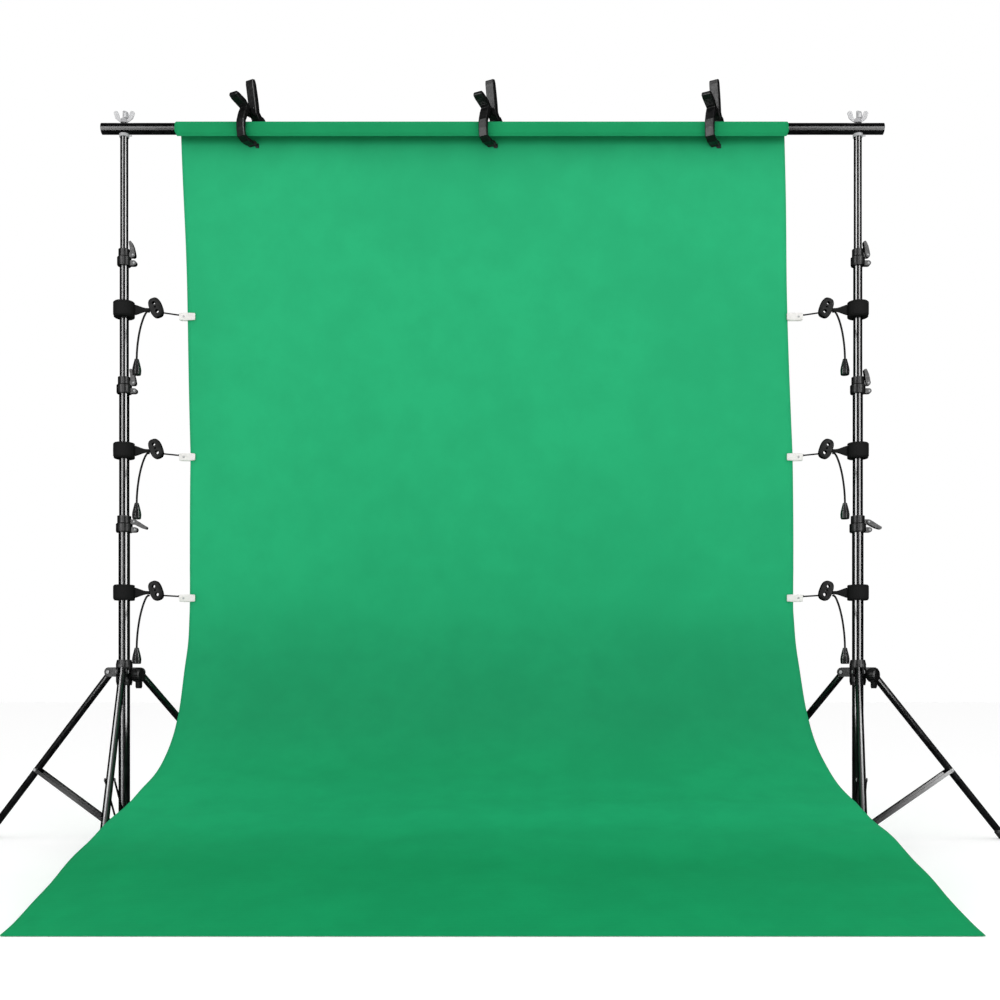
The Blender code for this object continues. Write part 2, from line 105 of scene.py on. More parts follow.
CLOTH_TONES_AND_PAINTED_SHADE = (  # (height, colour): the green with painted light and shade by height, darker on the floor, at the bend near 0.33 m and on the flap over the bar, lighter on the sweep near 0.13 m
    (0.000, (0.0062, 0.315, 0.112)),
    (0.040, (0.0062, 0.300, 0.106)),
    (0.070, (0.0060, 0.284, 0.099)),
    (0.130, (0.0115, 0.365, 0.143)),
    (0.220, (0.0125, 0.345, 0.134)),
    (0.330, (0.0138, 0.308, 0.124)),
    (0.480, (0.0150, 0.330, 0.135)),
    (0.640, (0.0205, 0.425, 0.178)),
    (1.000, (0.0230, 0.445, 0.185)),
    (1.801, (0.0250, 0.445, 0.187)),
    (1.806, (0.0120, 0.300, 0.112)),
)

# Side clips: places are (inward of the tube, back, above the strap's middle)
STRAP_HALF_HEIGHT = 0.023
BAND_RADIUS, BAND_HALF, BAND_ROUNDING = 0.0260, 0.0195, 0.0011
TUBE_RADIUS = {"upper": 0.0113, "lower": 0.0127, "base": 0.0142}
TUBE_GAP = 0.0006
FLAP_HALF, FLAP_THICKNESS = BAND_HALF - 0.0030, 0.0021
FLAP_START, FLAP_SWEEP = -150, 128  # in degrees round the tube
STITCHES, STITCH_PITCH, STITCH_TURN, STITCH_RADIUS = 18, 6.9, 0.075, 0.0004
TAIL = ((0.0245, 0.0135), (0.030, 0.0128), (0.040, 0.0092), (0.048, 0.0062), (0.055, 0.0045), (0.066, 0.0042))
TAIL_HALF_DEPTH = 0.0032
LOCK_X, LOCK_Z, LOCK_TILT = 0.0815, 0.005, -20.0
LOCK_HALF_WIDTH, LOCK_HALF_HEIGHT, LOCK_SIDES = 0.0165, 0.0258, 40
LOCK_RINGS = ((0.90, -0.0075), (0.97, -0.0066), (1.0, -0.0045), (1.0, 0.0045), (0.97, 0.0066), (0.90, 0.0075))
LOCK_HOLES = (  # (x, z, radius)
    (-0.0005, 0.0120, 0.0040),
    (0.0005, -0.0105, 0.0046),
    (-0.0005, 0.0012, 0.0022),
)
CORD_DIAMETER, ELASTIC_DIAMETER = 0.0050, 0.0040
DRAWCORD_ROUTE = (
    (0.0660, -0.0090, -0.0080),
    (0.0655, -0.0150, -0.0085),
    (0.0640, -0.0215, -0.0120),
    (0.0620, -0.0270, -0.0190),
    (0.0600, -0.0320, -0.0280),
    (0.0580, -0.0368, -0.0385),
    (0.0562, -0.0412, -0.0500),
    (0.0547, -0.0455, -0.0620),
    (0.0535, -0.0495, -0.0745),
    (0.0526, -0.0530, -0.0875),
    (0.0519, -0.0562, -0.1005),
    (0.0514, -0.0588, -0.1135),
    (0.0511, -0.0606, -0.1265),
    (0.0510, -0.0616, -0.1380),
    (0.0510, -0.0620, -0.1460),
)
BELL_TOP = 0.003  # above the cord's end
BELL = (  # (radius, height)
    (0.0, -0.0405),
    (0.0098, -0.0405),
    (0.0112, -0.0385),
    (0.0119, -0.0290),
    (0.0108, -0.0215),
    (0.0082, -0.0110),
    (0.0064, -0.0045),
    (0.0056, -0.0008),
    (0.0050, 0.0),
    (0.0, 0.0),
)
CLIP_IN, CLIP_DROP = 0.158, -0.013
CLIP_BACK_END = 0.0195  # outward of the clip's middle
ELASTIC_START, ELASTIC_SPANS = (0.0965, 0, -0.007), 14
JAW = (  # (inward of the clip's middle, half height)
    (-0.0205, 0.0060),
    (-0.0190, 0.0088),
    (-0.0080, 0.0095),
    (0.0080, 0.0095),
    (0.0195, 0.0088),
    (0.0205, 0.0070),
)
JAW_BRIDGE = ((-0.0205, 0.0085), (-0.0150, 0.0090))
JAW_APART = 0.0046  # from the cloth to the middle of each jaw
JAW_HALF_DEPTH = 0.0016

# Rivets, pins and caps: each head is (radius, height)
LEG_PIN_REACH, LEG_PIN_HEAD = 0.01425, (0.0046, 0.0016)
BRACE_PIN_REACH, BRACE_PIN_HEAD = 0.01165, (0.0042, 0.0018)
LEVER_PIN_REACH, LEVER_PIN_HEAD = 0.00725, (0.0026, 0.0010)
EAR_SCREW_REACH, EAR_SCREW_HEAD = 0.00605, (0.0030, 0.0014)
EAR_SCREW_IN, EAR_SCREW_UP = 0.0020, 0.0067
STUD_CAP = ((0, 0.0265), (0.0070, 0.0265), (0.0078, 0.0280), (0.0078, 0.0385), (0.0062, 0.0430), (0, 0.0446))
END_PLUG = ((0, -0.001), (0.0137, -0.001), (0.0137, 0.0002), (0.0120, 0.0005), (0, 0.0006))

# Clamps: places are (along the hinge, back, up) from the hinge's middle
SPRING_TURNS, SPRING_STEPS, SPRING_RADIUS, SPRING_WIRE, SPRING_HALF = 4, 14, 0.0052, 0.0007, 0.0050
PAD = ((-0.0110, 0.0045), (-0.0100, 0.0058), (0.0100, 0.0058), (0.0110, 0.0045))
PADS = {  # each arm's (back, up, lean in degrees, half depth)
    "rear": (0.0228, -0.0800, 8, 0.0050),
    "front": (0.0080, -0.0785, 0, 0.0052),
}
RIB_HALF, RIB_RADIUS = 0.0100, 0.0009
RIBS = {  # each arm's (count, back, step back, up, step up)
    "rear": (6, 0.0186, -0.0014, 0.0360, 0.0070),
    "front": (5, -0.0355, -0.0045, 0.0033, 0.0014),
}

# Stage
CAMERA_BACK, CAMERA_X, CAMERA_HEIGHT = 3.0, 0.019, 0.40
CAMERA_LENS, CAMERA_SHIFT = 42.18, 0.188
FLOOR_HALF, FLOOR_DROP, FLOOR_GLOW = 30, 0.0006, 0.07
LIGHT_PAIRS = (  # name, place and aim (x, z) of the right one, width, height, watts, which pieces it reaches
    ("side_softbox", (1.61, -1.37, 1.65), (0, 1.65), 0.80, 3.4, 205, "not bar"),
    ("bar_strip", (1.50, -1.37, 1.50), (0, 1.50), 0.90, 1.1, 40, "bar"),
    ("leg_strip", (2.60, -1.00, 0.45), (1.15, 0.25), 0.80, 0.9, 41, "legs"),
    ("leg_top", (1.85, -0.20, 2.60), (0.95, 0.25), 0.60, 0.6, 20, "legs"),
    ("top_soft", (0.2, -0.6, 4.0), (0, 0.90), 1.20, 1.4, 5, "all"),
)


# Materials ---------------------------------------------------------------------------------------


class Nodes:
    """A short way to write a material's nodes."""

    def __init__(self, name, roughness, **sockets):
        self.material = bpy.data.materials.new(name)
        self.material.use_nodes = True
        self.tree = self.material.node_tree
        self.shader = self.tree.nodes["Principled BSDF"]
        self.shader.inputs["Roughness"].default_value = roughness
        for socket, value in sockets.items():
            self.shader.inputs[socket.replace("_", " ")].default_value = value
        self.place = self.add("ShaderNodeTexCoord").outputs["Object"]

    def add(self, kind, **values):
        node = self.tree.nodes.new(kind)
        for name, value in values.items():
            setattr(node, name, value)
        return node

    def link(self, output, target):
        self.tree.links.new(output, target)

    def stretched(self, scale):
        node = self.add("ShaderNodeMapping")
        self.link(self.place, node.inputs["Vector"])
        node.inputs["Scale"].default_value = scale
        return node.outputs["Vector"]

    def cloud(self, scale, detail=3.0, rough=0.55, stretch=(1, 1, 1)):
        node = self.add("ShaderNodeTexNoise")
        self.link(self.stretched(stretch), node.inputs["Vector"])
        node.inputs["Scale"].default_value = scale
        node.inputs["Detail"].default_value = detail
        node.inputs["Roughness"].default_value = rough
        return node.outputs["Fac"]

    def spread(self, value, low, high, to_low=0.0, to_high=1.0):
        node = self.add("ShaderNodeMapRange")
        self.link(value, node.inputs["Value"])
        for socket, number in zip(("From Min", "From Max", "To Min", "To Max"), (low, high, to_low, to_high)):
            node.inputs[socket].default_value = number
        return node.outputs["Result"]

    def maths(self, first, second, operation="ADD"):
        """The sum of two values, or another operation on them."""
        node = self.add("ShaderNodeMath", operation=operation)
        for value, socket in zip((first, second), node.inputs):
            if isinstance(value, (int, float)):
                socket.default_value = value
            else:
                self.link(value, socket)
        return node.outputs["Value"]

    def axis(self, letter):
        node = self.add("ShaderNodeSeparateXYZ")
        self.link(self.place, node.inputs["Vector"])
        return node.outputs[letter]

    def wave(self, letter, period):
        """A sine along one axis, from 0 to 1."""
        turns = self.maths(self.axis(letter), math.tau / period, "MULTIPLY")
        return self.spread(self.maths(turns, 0.0, "SINE"), -1.0, 1.0)

    def blend(self, factor, first, second):
        node = self.add("ShaderNodeMix", data_type="RGBA")
        self.link(factor, node.inputs["Factor"])
        for socket, value in ((node.inputs[6], first), (node.inputs[7], second)):
            if isinstance(value, tuple):
                socket.default_value = (*value, 1.0)
            else:
                self.link(value, socket)
        return node.outputs[2]

    def tones(self, value, stops):
        """Colours along a value, from (value, colour) stops."""
        node = self.add("ShaderNodeValToRGB")
        self.link(value, node.inputs["Fac"])
        marks = node.color_ramp.elements
        while len(marks) < len(stops):
            marks.new(0.5)
        for mark, (at, tone) in zip(marks, stops):
            mark.position, mark.color = at, (*tone, 1.0)
        return node.outputs["Color"]

    def shaded(self, tone, factor):
        node = self.add("ShaderNodeHueSaturation")
        self.link(tone, node.inputs["Color"])
        self.link(factor, node.inputs["Value"])
        return node.outputs["Color"]

    def colour(self, output):
        self.link(output, self.shader.inputs["Base Color"])
        return self

    def rough(self, output):
        self.link(output, self.shader.inputs["Roughness"])
        return self

    def bump(self, height, distance, strength=1.0):
        node = self.add("ShaderNodeBump")
        node.inputs["Strength"].default_value = strength
        node.inputs["Distance"].default_value = distance
        self.link(height, node.inputs["Height"])
        self.link(node.outputs["Normal"], self.shader.inputs["Normal"])
        return self


def paint(look):
    """Gloss black enamel's colour: near black, with faint dust and rubbed patches."""
    dust = look.spread(look.cloud(35, 4), 0.35, 0.8)
    return look.blend(dust, (0.002, 0.002, 0.0022), (0.010, 0.010, 0.011))


def enamel():
    look = Nodes("black_enamel", 0.2)
    look.colour(paint(look))
    look.rough(look.spread(look.cloud(16, 3, stretch=(1, 1, 0.4)), 0.3, 0.75, 0.165, 0.225))
    return look.bump(look.cloud(18, 2), 0.00008, 0.01).material


def leg_enamel():
    """The same enamel, with the rubber foot below its rim."""
    look = Nodes("leg_enamel", 0.2, IOR=1.5)
    foot = look.spread(look.axis("Z"), 0.0235, 0.0245, 1.0, 0.0)
    look.colour(look.blend(foot, paint(look), (0.008, 0.008, 0.008)))
    gloss = look.spread(look.cloud(16, 3), 0.3, 0.75, 0.14, 0.22)
    look.rough(look.maths(gloss, look.maths(foot, 0.45, "MULTIPLY")))
    return look.bump(look.cloud(30, 2), 0.0001, 0.03).material


def moulded(name, dark, light, gloss=0.42, grain=900, shine=0.16):
    """Moulded plastic with a fine spark-eroded grain and lighter scuffs."""
    look = Nodes(name, gloss, Specular_IOR_Level=shine)
    look.colour(look.blend(look.spread(look.cloud(60, 5), 0.5, 0.85), dark, light))
    look.rough(look.spread(look.cloud(150, 3), 0.3, 0.7, gloss - 0.08, gloss + 0.1))
    return look.bump(look.cloud(grain, 2), 0.00015, 0.5).material


def bright_metal():
    """Cast zinc: mostly a soft pale grey, with duller patches."""
    look = Nodes("bright_metal", 0.3, Specular_IOR_Level=0.15)
    look.colour(look.blend(look.cloud(120, 4), (0.30, 0.30, 0.31), (0.52, 0.52, 0.53)))
    look.rough(look.spread(look.cloud(260, 3), 0.3, 0.7, 0.24, 0.36))
    return look.bump(look.cloud(700, 2), 0.0001, 0.3).material


def braid(name, dark, light, pitch=0.0028):
    """A woven cord's or strap's close texture."""
    look = Nodes(name, 0.85, Specular_IOR_Level=0.08)
    weave = look.maths(look.wave("Z", pitch), look.wave("X", pitch), "MULTIPLY")
    look.colour(look.blend(look.maths(weave, look.cloud(500, 3), "MULTIPLY"), dark, light))
    return look.bump(look.maths(weave, look.cloud(900, 2)), 0.0004, 0.7).material


def cloth():
    """Green muslin: soft clouds of dye and a fine weave, with painted shade by height, darker on the floor,
    at its bend and on the flap.
    """
    look = Nodes("green_muslin", 0.9, Specular_IOR_Level=0.02)
    height = look.spread(look.axis("Z"), 0.0, SHEET_TALL)
    # the green by height, with painted light and shade: darker on the floor, the bend and the flap, lighter
    # on the sweep
    tone = look.tones(height, [(at / SHEET_TALL, colour) for at, colour in CLOTH_TONES_AND_PAINTED_SHADE])
    clouds = look.maths(look.cloud(3.6, 5, 0.6), look.cloud(13, 4, 0.6), "MULTIPLY")
    weave = look.maths(look.wave("X", 0.0021), look.wave("Z", 0.0021), "MULTIPLY")
    mottle = look.spread(clouds, 0.15, 0.37, 0.95, 1.04)
    look.colour(look.shaded(tone, look.maths(mottle, look.maths(weave, 0.05, "MULTIPLY"), "SUBTRACT")))
    look.rough(look.spread(look.cloud(40, 4), 0.3, 0.7, 0.84, 0.95))
    rise_of_weave = look.maths(look.maths(weave, 0.35, "MULTIPLY"), look.cloud(700, 3))
    return look.bump(rise_of_weave, 0.0005, 0.35).material


ENAMEL, LEG_ENAMEL, BRIGHT = enamel(), leg_enamel(), bright_metal()
PLASTIC = moulded("black_moulding", (0.004, 0.004, 0.0043), (0.014, 0.014, 0.015))
CLAMP_PLASTIC = moulded("clamp_nylon", (0.004, 0.004, 0.0043), (0.013, 0.013, 0.014), 0.36, 600)
BELL_PLASTIC = moulded("bell_moulding", (0.006, 0.006, 0.0065), (0.016, 0.016, 0.017), 0.26, shine=0.4)
CLIP_PLASTIC = moulded("white_moulding", (0.78, 0.76, 0.74), (0.60, 0.57, 0.54), 0.4)
LOCK_PLASTIC = moulded("lock_moulding", (0.003, 0.003, 0.003), (0.010, 0.010, 0.0105), 0.5, shine=0.05)
RUBBER = moulded("rubber", (0.010, 0.010, 0.010), (0.022, 0.022, 0.022), 0.7, 500)
WEBBING = braid("black_webbing", (0.002, 0.002, 0.002), (0.014, 0.014, 0.0145))
CORD = braid("black_cord", (0.002, 0.002, 0.002), (0.012, 0.012, 0.012), 0.0022)
CLOTH = cloth()


def cad_finish(node):
    """The finish of a CAD node, chosen by its name."""
    if "_leg_hub" in node or "_knob" in node or "_lock_" in node:
        return PLASTIC
    if node.startswith("clamp_"):
        return CLAMP_PLASTIC
    if "_stud" in node or "_nut" in node:
        return BRIGHT
    if "_leg_" in node:
        return LEG_ENAMEL
    return CLOTH if node == "backdrop" else ENAMEL


for part in RECORD["subparts"]:
    shape = bpy.data.objects[part["node"]]
    shape.data.materials.clear()
    shape.data.materials.append(cad_finish(part["node"]))


# Mesh helpers ------------------------------------------------------------------------------------


def shape_of(name, points, faces, look, body, slot, smooth=True):
    """A finished piece that rides on a body, made from its points and faces."""
    mesh = bpy.data.meshes.new(name)
    mesh.from_pydata([tuple(point) for point in points], [], faces)
    tidy = bmesh.new()
    tidy.from_mesh(mesh)
    bmesh.ops.remove_doubles(tidy, verts=tidy.verts, dist=1e-6)
    bmesh.ops.recalc_face_normals(tidy, faces=tidy.faces)
    tidy.to_mesh(mesh)
    tidy.free()
    made = bpy.data.objects.new(name, mesh)
    bpy.context.scene.collection.objects.link(made)
    mesh.materials.append(look)
    if smooth:
        mesh.shade_smooth()
        mesh.set_sharp_from_angle(angle=math.radians(40))
    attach(made, body)
    return made


def lathe(profile, sides, matrix, start=0.0, sweep=360.0):
    """Points and faces of a closed (radius, height) profile turned about Z, all round or part of the way."""
    whole = sweep >= 360
    rows = sides if whole else sides + 1
    points, count = [], len(profile)
    for row in range(rows):
        angle = math.radians(start + sweep * row / sides)
        points += [matrix @ Vector((r * math.cos(angle), r * math.sin(angle), z)) for r, z in profile]
    faces = []
    for row in range(sides):
        after = (row + 1) % rows
        for i in range(count):
            j = (i + 1) % count
            faces.append((row * count + i, row * count + j, after * count + j, after * count + i))
    if not whole:
        faces += [tuple(range(count)), tuple(range((rows - 1) * count, rows * count))]
    return points, faces


def tube(route, radius, sides=10, closed=False):
    """Points and faces of a round rod along a route; radius may be one number or one for each point."""
    route = [Vector(point) for point in route]
    count = len(route)
    radii = radius if isinstance(radius, list) else [radius] * count
    side, points = None, []
    for i, place in enumerate(route):
        if closed:
            way = route[(i + 1) % count] - route[i - 1]
        else:
            way = route[min(i + 1, count - 1)] - route[max(i - 1, 0)]
        way = way.normalized()
        side = way.orthogonal() if side is None else side - way * side.dot(way)
        side.normalize()
        other = way.cross(side)
        for step in range(sides):
            angle = math.tau * step / sides
            points.append(place + radii[i] * (math.cos(angle) * side + math.sin(angle) * other))
    faces = []
    for row in range(count if closed else count - 1):
        after = (row + 1) % count
        for i in range(sides):
            j = (i + 1) % sides
            faces.append((row * sides + i, row * sides + j, after * sides + j, after * sides + i))
    if not closed:
        faces += [tuple(range(sides)), tuple(range((count - 1) * sides, count * sides))]
    return points, faces


def merged(*shells):
    points, faces = [], []
    for shell_points, shell_faces in shells:
        offset = len(points)
        points += shell_points
        faces += [tuple(corner + offset for corner in face) for face in shell_faces]
    return points, faces


def smooth_route(knots, per_span):
    """A Catmull-Rom curve through the knots."""
    knots = [Vector(knot) for knot in knots]
    padded = [2 * knots[0] - knots[1], *knots, 2 * knots[-1] - knots[-2]]
    route = []
    for a, b, c, d in zip(padded, padded[1:], padded[2:], padded[3:]):
        for step in range(per_span):
            t = step / per_span
            bend, twist = 2 * a - 5 * b + 4 * c - d, 3 * b - a - 3 * c + d
            route.append(0.5 * (2 * b + (c - a) * t + bend * t * t + twist * t**3))
    return [*route, knots[-1]]


# Sheet -------------------------------------------------------------------------------------------


def rise(value, low, high):
    """From 0 at low to 1 at high, eased at both ends."""
    t = min(1, max(0, (value - low) / (high - low)))
    return t * t * (3 - 2 * t)


def sheet_line():
    """(forward, height) of the cloth's middle, evenly stepped, from the front flap to the front edge."""
    knots = [(WRAP_RADIUS, FLAP_BOTTOM), (WRAP_RADIUS, FLAP_BEND)]
    for step in range(1, WRAP_SPANS):
        angle = math.pi * step / WRAP_SPANS
        knots.append((WRAP_RADIUS * math.cos(angle), BAR.z + WRAP_RADIUS * math.sin(angle)))
    knots += [(-WRAP_RADIUS, height) for height in (BAR.z, *HANG_HEIGHTS)]
    knots += [(forward - WRAP_RADIUS, height) for forward, height in SWEEP]
    knots.append((SHEET_REACH, FRONT_HEIGHT))
    fine = smooth_route([(forward, height, 0) for forward, height in knots], 24)
    line, left = [fine[0]], SHEET_STEP
    for before, spot in zip(fine, fine[1:]):
        left -= (spot - before).length
        if left <= 0:
            line.append(spot)
            left = WRAP_STEP if spot.y > WRAP_FOOT else SHEET_STEP
    return [*line, fine[-1]]


def sheet_edges(height, run):
    """The cloth's left and right edges; its front flap runs a little wider than the hanging cloth."""
    hanging, lying = max(0, height - 1.0), max(0, 1 - height)
    left = -0.774 - 0.034 * hanging - 0.016 * lying
    right = 0.771 - 0.024 * hanging + 0.050 * max(0, 0.6 - height)
    flap = 1 - rise(run, 0.02, 0.075)
    rounding = 0.006 * (1 - min(1, run / 0.006)) ** 2
    return left - 0.008 * flap + rounding, right + 0.003 * flap - rounding


def crumple(x, run, size, across, along, seed):
    """Soft random rises, about so many to the metre across and along the cloth."""
    return size * noise.noise(Vector((x * across, run * along, seed)))


def cloth_offset(x, run, height, freedom):
    """How far the cloth stands off its plain path: long soft folds where it hangs, low ripples on the floor.

    Freedom is 1 where it hangs loose, and near 0 where the side clips draw it flat."""
    wide_fold = 0.0042 * math.sin(7.3 * x + 0.9 * math.sin(1.7 * run))
    narrow_fold = 0.0026 * math.sin(17 * x + 1.3 + 0.8 * run)
    crumples = crumple(x, run, 0.010, 2.1, 1.3, 4.2) + crumple(x, run, 0.0022, 9, 6, 1.1)
    hung = rise(run, 0.12, 0.75) * rise(height, 0.10, 0.55) * (wide_fold + narrow_fold + crumples)
    tuck = 0.0009 * math.sin(60 * x) * rise(run, 0.055, 0.075) * (1 - rise(run, 0.14, 0.34))
    ripple = crumple(x, run, 0.006, 3.1, 2.7, 9.4) + 0.0018 * math.sin(28 * run + 2.2 * x)
    laid = (1 - rise(height, 0.10, 0.45)) * rise(height, 0.0, 0.06) * ripple
    creases = sum(CREASE_HEIGHT * math.exp(-(((run - at) / CREASE_WIDTH) ** 2)) for at in CREASES)
    return freedom * (hung + tuck) + laid + creases * rise(run, 0.4, 0.6)


def cloth_point(spot, out, run, share):
    """The cloth's middle at one step of its line and one share of its width, from left to right."""
    left, right = sheet_edges(spot.y, run)
    side, outer = round(share), abs(2 * share - 1)
    waver = 0.0035 * math.sin(5.1 * run + 2 * side) * rise(run, 0.1, 0.5) * outer**3
    x = left + (right - left) * share + waver
    drawn = EDGES_DRAWN * rise(spot.y, 0.35, 0.55)
    off = cloth_offset(x, run, spot.y, 1.0 - drawn * rise(outer, 0.84, 0.95))
    flutter = 0.006 * outer**16 * math.sin(6.5 * run + 3 * side)
    off += flutter * rise(run, 0.15, 0.6) * rise(spot.y, 0.05, 0.3) * (1 - drawn)
    return x, BAR.y - (spot.x + out.x * off), max(spot.y + out.y * off, LOWEST_CLOTH)


def make_sheet():
    line = sheet_line()
    points, run = [], 0.0
    for index, spot in enumerate(line):
        before, after = line[max(index - 1, 0)], line[min(index + 1, len(line) - 1)]
        if index:
            run += (spot - before).length
        way = (after - before).normalized()
        out = Vector((-way.y, way.x))
        points += [cloth_point(spot, out, run, column / SHEET_COLUMNS) for column in range(SHEET_COLUMNS + 1)]
    across = SHEET_COLUMNS + 1
    faces = [
        (row + c, row + c + 1, row + across + c + 1, row + across + c)
        for row in range(0, across * (len(line) - 1), across)
        for c in range(SHEET_COLUMNS)
    ]
    sheet = shape_of("cloth_sheet", points, faces, CLOTH, "bar", "cloth_green")
    skin = sheet.modifiers.new("thickness", "SOLIDIFY")
    skin.thickness, skin.offset = SHEET_THICKNESS, 0.0
    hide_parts("backdrop")
    hanging = points[len(points) // 8 // across * across :]
    return {"left": hanging[::across], "right": hanging[across - 1 :: across]}


CLOTH_EDGES = make_sheet()


# Side clips --------------------------------------------------------------------------------------


def turn_steps(count):
    return [math.tau * step / count for step in range(count)]


def squared(value, power=0.74):
    """A sine or cosine drawn out toward a rounded square's."""
    return math.copysign(abs(value) ** power, value)


def rounded_bar(points, half_depth, rows=12):
    """A flat strip along X from (x, half height) points, with rounded edges, about the XZ plane."""
    made, faces = [], []
    for x, half in points:
        for step in range(rows):
            angle = math.tau * (step + 0.5) / rows
            y, z = squared(math.cos(angle), 0.35), squared(math.sin(angle), 0.35)
            made.append(Vector((x, half_depth * y, half * z)))
    for row in range(len(points) - 1):
        for i in range(rows):
            j = (i + 1) % rows
            faces.append((row * rows + i, row * rows + j, (row + 1) * rows + j, (row + 1) * rows + i))
    faces += [tuple(range(rows)), tuple(range((len(points) - 1) * rows, len(points) * rows))]
    return made, faces


def placed(shell, matrix):
    points, faces = shell
    return [matrix @ Vector(point) for point in points], faces


def drilled(solid_shell, cutters):
    """Points and faces of a solid with each cutter taken out of it."""
    made = []
    for shell_points, shell_faces in (solid_shell, *cutters):
        mesh = bpy.data.meshes.new("drilling")
        mesh.from_pydata([tuple(point) for point in shell_points], [], shell_faces)
        shell = bmesh.new()
        shell.from_mesh(mesh)
        bmesh.ops.recalc_face_normals(shell, faces=shell.faces)
        shell.to_mesh(mesh)
        shell.free()
        made.append(bpy.data.objects.new("drilling", mesh))
        bpy.context.scene.collection.objects.link(made[-1])
    for cutter in made[1:]:
        hole = made[0].modifiers.new("hole", "BOOLEAN")
        hole.object, hole.operation, hole.solver = cutter, "DIFFERENCE", "EXACT"
    baked = made[0].evaluated_get(bpy.context.evaluated_depsgraph_get()).to_mesh()
    left = [vertex.co.copy() for vertex in baked.vertices], [tuple(face.vertices) for face in baked.polygons]
    for part in made:
        bpy.data.objects.remove(part)
    return left


def soften(shape, width):
    bevel = shape.modifiers.new("worn edges", "BEVEL")
    bevel.width, bevel.segments, bevel.limit_method = width, 2, "ANGLE"


def make_band(name, node, tube_radius, here, body):
    """The hook-and-loop band round the tube, its overlapping end with two rows of stitches, and its tail."""
    inner, corner = tube_radius + TUBE_GAP, BAND_ROUNDING
    profile = [(inner, corner - BAND_HALF), (inner + corner, -BAND_HALF)]
    profile += [(BAND_RADIUS - corner, -BAND_HALF), (BAND_RADIUS, corner - BAND_HALF)]
    profile += [(BAND_RADIUS + 0.0003 * math.sin(9 * z), z * BAND_HALF / 6) for z in range(-4, 5)]
    profile += [(BAND_RADIUS, BAND_HALF - corner), (BAND_RADIUS - corner, BAND_HALF)]
    profile += [(inner + corner, BAND_HALF), (inner, BAND_HALF - corner)]
    band = shape_of(f"{name}_band", *lathe(profile, 48, here), WEBBING, body, "webbing_black")
    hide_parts(node)

    under, over, outside = (BAND_RADIUS + depth for depth in (0.0002, 0.0019, FLAP_THICKNESS))
    flap = [(under, -FLAP_HALF), (over, -FLAP_HALF), (outside, 0), (over, FLAP_HALF), (under, FLAP_HALF)]
    flap_shell = lathe(flap, 22, here, FLAP_START, FLAP_SWEEP)
    shape_of(f"{name}_flap", *flap_shell, WEBBING, body, "webbing_black")
    stitches = []
    for row in (0.0030 - FLAP_HALF, FLAP_HALF - 0.0030):
        for step in range(STITCHES):
            start = math.radians(FLAP_START + 4 + STITCH_PITCH * step)
            ends = [
                Vector((outside * math.cos(angle), outside * math.sin(angle), row))
                for angle in (start, start + STITCH_TURN)
            ]
            stitches.append(placed(tube(ends, STITCH_RADIUS, 5), here))
    shape_of(f"{name}_band_stitches", *merged(*stitches), CORD, body, "webbing_black")
    tail = placed(rounded_bar(TAIL, TAIL_HALF_DEPTH), here)
    shape_of(f"{name}_tail", *tail, WEBBING, body, "webbing_black")


def make_cord_lock(name, here, body):
    """The flat oval lock, drilled for the drawcord and the elastic."""
    tilt = here @ Matrix.Translation((LOCK_X, 0, LOCK_Z)) @ Matrix.Rotation(math.radians(LOCK_TILT), 4, "Y")
    oval = [
        (LOCK_HALF_WIDTH * squared(math.cos(angle)), LOCK_HALF_HEIGHT * squared(math.sin(angle)))
        for angle in turn_steps(LOCK_SIDES)
    ]
    disc = [Vector((x * grow, depth, z * grow)) for grow, depth in LOCK_RINGS for x, z in oval]
    last = LOCK_SIDES * (len(LOCK_RINGS) - 1)
    skin = [
        (row + c, row + (c + 1) % LOCK_SIDES, row + LOCK_SIDES + (c + 1) % LOCK_SIDES, row + LOCK_SIDES + c)
        for row in range(0, last, LOCK_SIDES)
        for c in range(LOCK_SIDES)
    ]
    skin += [tuple(range(LOCK_SIDES)), tuple(range(last, last + LOCK_SIDES))]
    holes = [placed(tube([(x, -0.02, z), (x, 0.02, z)], radius, 20), tilt) for x, z, radius in LOCK_HOLES]
    lock = drilled(placed((disc, skin), tilt), holes)
    soften(shape_of(f"{name}_cord_lock", *lock, LOCK_PLASTIC, body, "plastic_black"), 0.0006)


def make_drawcord(name, node, here, body):
    """The drawcord that hangs from the lock, and the faceted bell on its end."""
    route = [here @ Vector(point) for point in DRAWCORD_ROUTE]
    top = Matrix.Translation(route[-1] + Vector((0, 0, BELL_TOP)))
    bell = shape_of(f"{name}_bell", *lathe(BELL, 8, top), BELL_PLASTIC, body, "plastic_black", smooth=False)
    soften(bell, 0.0006)
    cord = shape_of(f"{name}_drawcord_line", *tube(route, CORD_DIAMETER / 2, 10), CORD, body, "cord_black")
    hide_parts(node)


def cloth_edge(side, height):
    """How far behind the bar's plane the cloth's edge is at a height."""
    spot = min(CLOTH_EDGES[side], key=lambda point: abs(point[2] - height))
    return spot[1] - BAR.y


